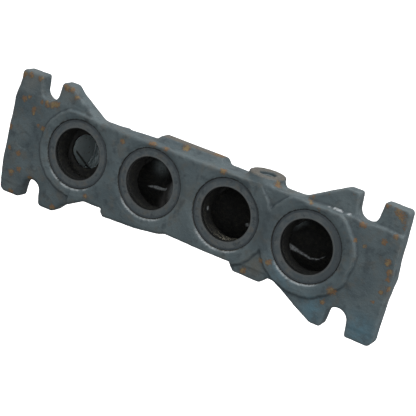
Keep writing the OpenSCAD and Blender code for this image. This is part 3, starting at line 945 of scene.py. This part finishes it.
def build_rings():
    material = ring_material()
    for i, (low, high) in enumerate(RINGS, 1):
        thick = high[1] - low[1]
        centre_x = (low[0] + high[0]) / 2
        points, faces = revolve(ring_profile(thick), 128, closed=True)
        wobble = 0.05 * lumps(points[:, 0], points[:, 1], points[:, 2], 5.0, i)
        points[:, 2] = np.clip(points[:, 2] + np.abs(wobble), 0, thick)
        points = place(points, (0, 1, 0), (centre_x, low[1], 0))
        obj = add_piece(f"seat_ring_{i}", points, faces, material, f"port_ring_{i}")
        r = np.sqrt((points[:, 0] - centre_x) ** 2 + points[:, 2] ** 2)
        add_field(obj, "soot", ramp(-r, -BORE_R - 0.7, -BORE_R - 0.1))
        add_field(obj, "lip", ramp(-r, -BORE_R - 2.2, -BORE_R - 0.9))
        # Painted shadow on the right side of the last port's ring, added to the darker outer band
        right_side_shade = 0.7 * ramp(points[:, 0] - PORT_X[3], 6, 22)
        add_field(obj, "rim", np.maximum(ramp(r, RING_R - 2.6, RING_R - 1.2), right_side_shade))


CUP_WALL = 1.6
CUP_BEND = 3.0
CUP_INNER_BEND = 1.8
CUP_EDGE = 0.4


def cup_profile(length):
    """Radius and height of a pressed cup, its bottom at height 0 and its mouth at length."""
    inside = CUP_R - CUP_WALL
    outer_centre = CUP_R - CUP_BEND
    inner_centre = inside - CUP_INNER_BEND
    inner_foot = CUP_WALL + CUP_INNER_BEND
    flat = [(r, 0.0) for r in np.linspace(0.0, outer_centre - 0.4, 30)]
    corner = [(outer_centre + CUP_BEND * math.sin(a), CUP_BEND - CUP_BEND * math.cos(a))
              for a in np.linspace(0, math.pi / 2, 7)]
    rim = [(CUP_R, length - CUP_EDGE), (CUP_R - CUP_EDGE, length),
           (inside + 0.3, length), (inside, length - CUP_EDGE)]
    inner_corner = [(inner_centre + CUP_INNER_BEND * math.cos(a), inner_foot - CUP_INNER_BEND * math.sin(a))
                    for a in np.linspace(0, math.pi / 2, 6)]
    return flat + corner + rim + inner_corner + [(0.0, CUP_WALL)]


def build_cups():
    material = plug_material()
    for side_name, side in (("left", -1), ("right", 1)):
        low, high = box_mm(f"end_plug_{side_name}")
        points, faces = revolve(cup_profile(high[0] - low[0]), 96)
        inner_x = low[0] if side > 0 else high[0]
        points = place(points, (side, 0, 0), (inner_x, LOG_Y, LOG_Z))
        obj = add_piece(f"cup_{side_name}", points, faces, material, f"end_plug_{side_name}")
        bottom = ramp(-np.abs(points[:, 0] - inner_x), -1.3, -0.8)
        # The inner face gets clean paint painted pale, standing in for light falling on it
        add_field(obj, "pale", bottom)
        add_field(obj, "line", dark_line(points[:, 1], points[:, 2]) * bottom)


# Half the width of the hexagon socket, then the pitch and the depth of the thread
HEX_HALF = 4.0
PLUG_PITCH = 1.3
PLUG_THREAD = 0.55


def build_boss_plug():
    """The threaded plug, built as rings of points from its foot up and down into its socket."""
    top = PLUG_HIGH[2] - PLUG_LOW[2]
    turns = 96
    angles = [2 * math.pi * i / turns for i in range(turns)]

    def circle(r, height):
        return [(r * math.cos(a), r * math.sin(a), height) for a in angles]

    def hexagon(scale, height):
        ring = []
        for a in angles:
            r = scale * HEX_HALF / math.cos((a + math.pi / 6) % (math.pi / 3) - math.pi / 6)
            ring.append((r * math.cos(a), r * math.sin(a), height))
        return ring

    layers = [circle(0.0, 0.0), circle(PLUG_R - 1, 0.0), circle(PLUG_R, 1.0)]
    height = 1.4
    while height < top - 2.0:
        layers += [circle(PLUG_R - PLUG_THREAD, height), circle(PLUG_R, height + PLUG_PITCH / 2)]
        height += PLUG_PITCH
    layers += [circle(PLUG_R, top - 0.8), circle(PLUG_R - 0.8, top),
               hexagon(1.06, top), hexagon(1.0, top - 0.4), hexagon(1.0, top - 5.6), hexagon(0.2, top - 6.0),
               circle(0.0, top - 6.0)]
    faces = []
    for k in range(len(layers) - 1):
        for i in range(turns):
            j = (i + 1) % turns
            faces.append((k * turns + i, k * turns + j, (k + 1) * turns + j, (k + 1) * turns + i))
    points = np.array([p for layer in layers for p in layer]) + np.array([BOSS_X, BOSS_Y, PLUG_LOW[2]])
    add_piece("pipe_plug", points, faces, plug_material(), "boss_plug")


STUD_PITCH = 1.5
STUD_THREAD = 0.75
STUD_TIP = 1.2
ROWS_PER_PITCH = 8


def threaded_rod(length, turns=48):
    """A closed rod of radius STUD_R along +Z with a spiral thread and a tapered tip."""
    rows = int(length / STUD_PITCH * ROWS_PER_PITCH)
    points = [(0.0, 0.0, 0.0)]
    for k in range(rows + 1):
        h = length * k / rows
        into_tip = max(0.0, h - length + STUD_TIP)
        depth = STUD_THREAD * (1 if h < length - STUD_TIP else 0.4)
        for t in range(turns):
            a = 2 * math.pi * t / turns
            wave = abs(((h / STUD_PITCH + t / turns) % 1.0) * 2 - 1)
            r = STUD_R - depth * wave - into_tip * 0.9
            points.append((r * math.cos(a), r * math.sin(a), h))
    points.append((0.0, 0.0, length))
    faces = []
    for k in range(rows):
        low, high = 1 + k * turns, 1 + (k + 1) * turns
        for t in range(turns):
            u = (t + 1) % turns
            faces.append((low + t, low + u, high + u, high + t))
    for t in range(turns):
        u = (t + 1) % turns
        faces.append((0, 1 + u, 1 + t))
        faces.append((len(points) - 1, 1 + rows * turns + t, 1 + rows * turns + u))
    return points, faces


def build_studs():
    material = stud_material()
    for i, (low, high) in enumerate(STUDS, 1):
        points, faces = threaded_rod(high[1] - low[1])
        centre = (low + high) / 2
        points = place(points, (0, 1, 0), (centre[0], low[1], centre[2]))
        add_piece(f"stud_{i}", points, faces, material, f"outlet_stud_{i}")


# --------------------------------------------------------- stage and camera
# Half the floor's width and how far it lies below the part, in metres
FLOOR_HALF = 20.0
FLOOR_DROP = 0.35


def build_floor():
    """A pale floor that neither lights the part nor shows in it."""
    size = FLOOR_HALF
    level = CAD_BOX[0][2] - FLOOR_DROP
    mesh = bpy.data.meshes.new("floor")
    corners = [(-size, -size, level), (size, -size, level), (size, size, level), (-size, size, level)]
    mesh.from_pydata(corners, [], [(0, 1, 2, 3)])
    floor = bpy.data.objects.new("floor", mesh)
    bpy.context.scene.collection.objects.link(floor)
    n = Nodes("pale_floor")
    color = n.mix(n.span(n.noise(400, 2), 0.3, 0.7), (0.93, 0.93, 0.93), (0.96, 0.96, 0.96))
    material = n.finish(color, 0.9)
    shader = n.tree.nodes["Principled BSDF"]
    shader.inputs["Emission Color"].default_value = (1, 1, 1, 1)
    shader.inputs["Emission Strength"].default_value = 1.0
    floor.data.materials.append(material)
    floor.visible_diffuse = False
    floor.visible_glossy = False


def area_light(name, place_at, size, power):
    """A rectangular light aimed at the middle of the row of ports."""
    data = bpy.data.lights.new(name, "AREA")
    data.shape = "RECTANGLE"
    data.size, data.size_y = size
    data.energy = power
    light = bpy.data.objects.new(name, data)
    light.location = place_at
    light.rotation_euler = (-Vector(place_at)).to_track_quat("-Z", "Y").to_euler()
    bpy.context.scene.collection.objects.link(light)


def build_world():
    """A grey sky, brighter above, that the camera itself sees as white."""
    world = bpy.data.worlds.new("studio")
    world.use_nodes = True
    tree = world.node_tree
    background = tree.nodes["Background"]
    coords = tree.nodes.new("ShaderNodeTexCoord")
    split = tree.nodes.new("ShaderNodeSeparateXYZ")
    tree.links.new(coords.outputs["Generated"], split.inputs[0])
    sky = tree.nodes.new("ShaderNodeMapRange")
    for key, value in (("From Min", -1.0), ("From Max", 1.0), ("To Min", 0.06), ("To Max", 0.75)):
        sky.inputs[key].default_value = value
    tree.links.new(split.outputs["Z"], sky.inputs["Value"])
    path = tree.nodes.new("ShaderNodeLightPath")
    white = tree.nodes.new("ShaderNodeMix")
    white.data_type = "FLOAT"
    tree.links.new(path.outputs["Is Camera Ray"], white.inputs[0])
    tree.links.new(sky.outputs["Result"], white.inputs[2])
    white.inputs[3].default_value = 1.0
    tree.links.new(white.outputs[0], background.inputs["Strength"])
    background.inputs["Color"].default_value = (1, 1, 1, 1)
    bpy.context.scene.world = world


def build_lights():
    area_light("overhead", (0.25, -0.15, 1.3), (1.3, 0.8), 8.5)
    area_light("right_side", (1.3, -0.2, 0.3), (0.6, 0.9), 3.5)
    area_light("front_fill", (0.68, -1.3, 0.5), (0.9, 0.7), 4.0)


# Where the camera stands, in port spacings from the middle of the row, and how it is turned
CAMERA_AT = (5.6471, -11.8231, 3.9609)
CAMERA_RIGHT = (0.85145, 0.46675, 0.23913)
CAMERA_UP = (-0.34465, 0.15433, 0.92596)


def build_camera():
    """Seen from the right and above, with a roll of about 14 degrees."""
    data = bpy.data.cameras.new("camera")
    data.sensor_width = 36.0
    data.lens = 106.83
    camera = bpy.data.objects.new("camera", data)
    right = Vector(CAMERA_RIGHT)
    back = right.cross(Vector(CAMERA_UP)).normalized()
    up = back.cross(right).normalized()
    place_at = Vector(CAMERA_AT) * PITCH * MM + Vector((0, RECESS * MM, 0))
    turn = Matrix((right, up, back)).transposed()
    camera.matrix_world = Matrix.Translation(place_at) @ turn.to_4x4()
    data.clip_end = 20
    bpy.context.scene.collection.objects.link(camera)
    bpy.context.scene.camera = camera


build_casting()
build_rings()
build_cups()
build_boss_plug()
build_studs()
build_floor()
build_world()
build_lights()
build_camera()
bpy.context.scene.view_settings.view_transform = "Standard"
